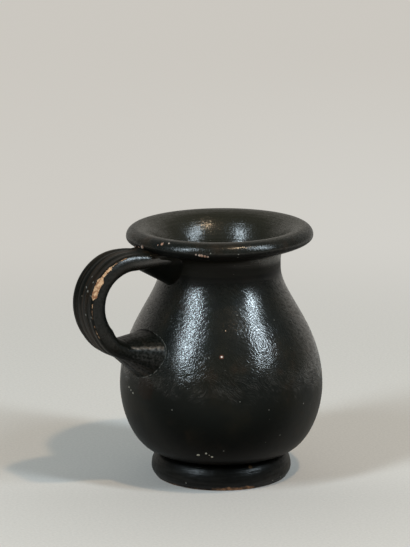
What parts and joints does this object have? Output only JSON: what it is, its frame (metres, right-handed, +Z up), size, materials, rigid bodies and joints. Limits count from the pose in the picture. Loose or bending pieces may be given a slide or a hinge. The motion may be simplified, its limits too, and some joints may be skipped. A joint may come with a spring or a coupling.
{
  "type": "olpe",
  "caption": "Small black-glazed olpe: a pear-shaped pouring jug with a ring foot, a flared mouth with a rolled lip, and a fluted strap handle.",
  "frame": {"origin": "middle of the footprint on the surface that the foot stands on; the wheel axis of body, mouth and foot is 10.9 mm towards +X from it", "axes": "+Z up along the wheel axis, the handle points to -X, and the handle's middle plane is Y = 0"},
  "size_m": [0.0976, 0.0758, 0.095],
  "materials": {
    "black_glaze": "satin black slip, burnished, worn to orange clay on edges",
    "luting_clay": "smoothed luting clay under the same black slip, a little duller"
  },
  "bodies": {
    "root": {"foot_ring": "black_glaze", "foot_luting": "luting_clay", "body": "black_glaze", "neck_luting": "luting_clay", "mouth": "black_glaze", "handle": "black_glaze", "handle_top_luting": "luting_clay", "handle_root_luting": "luting_clay"}
  },
  "joints": []
}
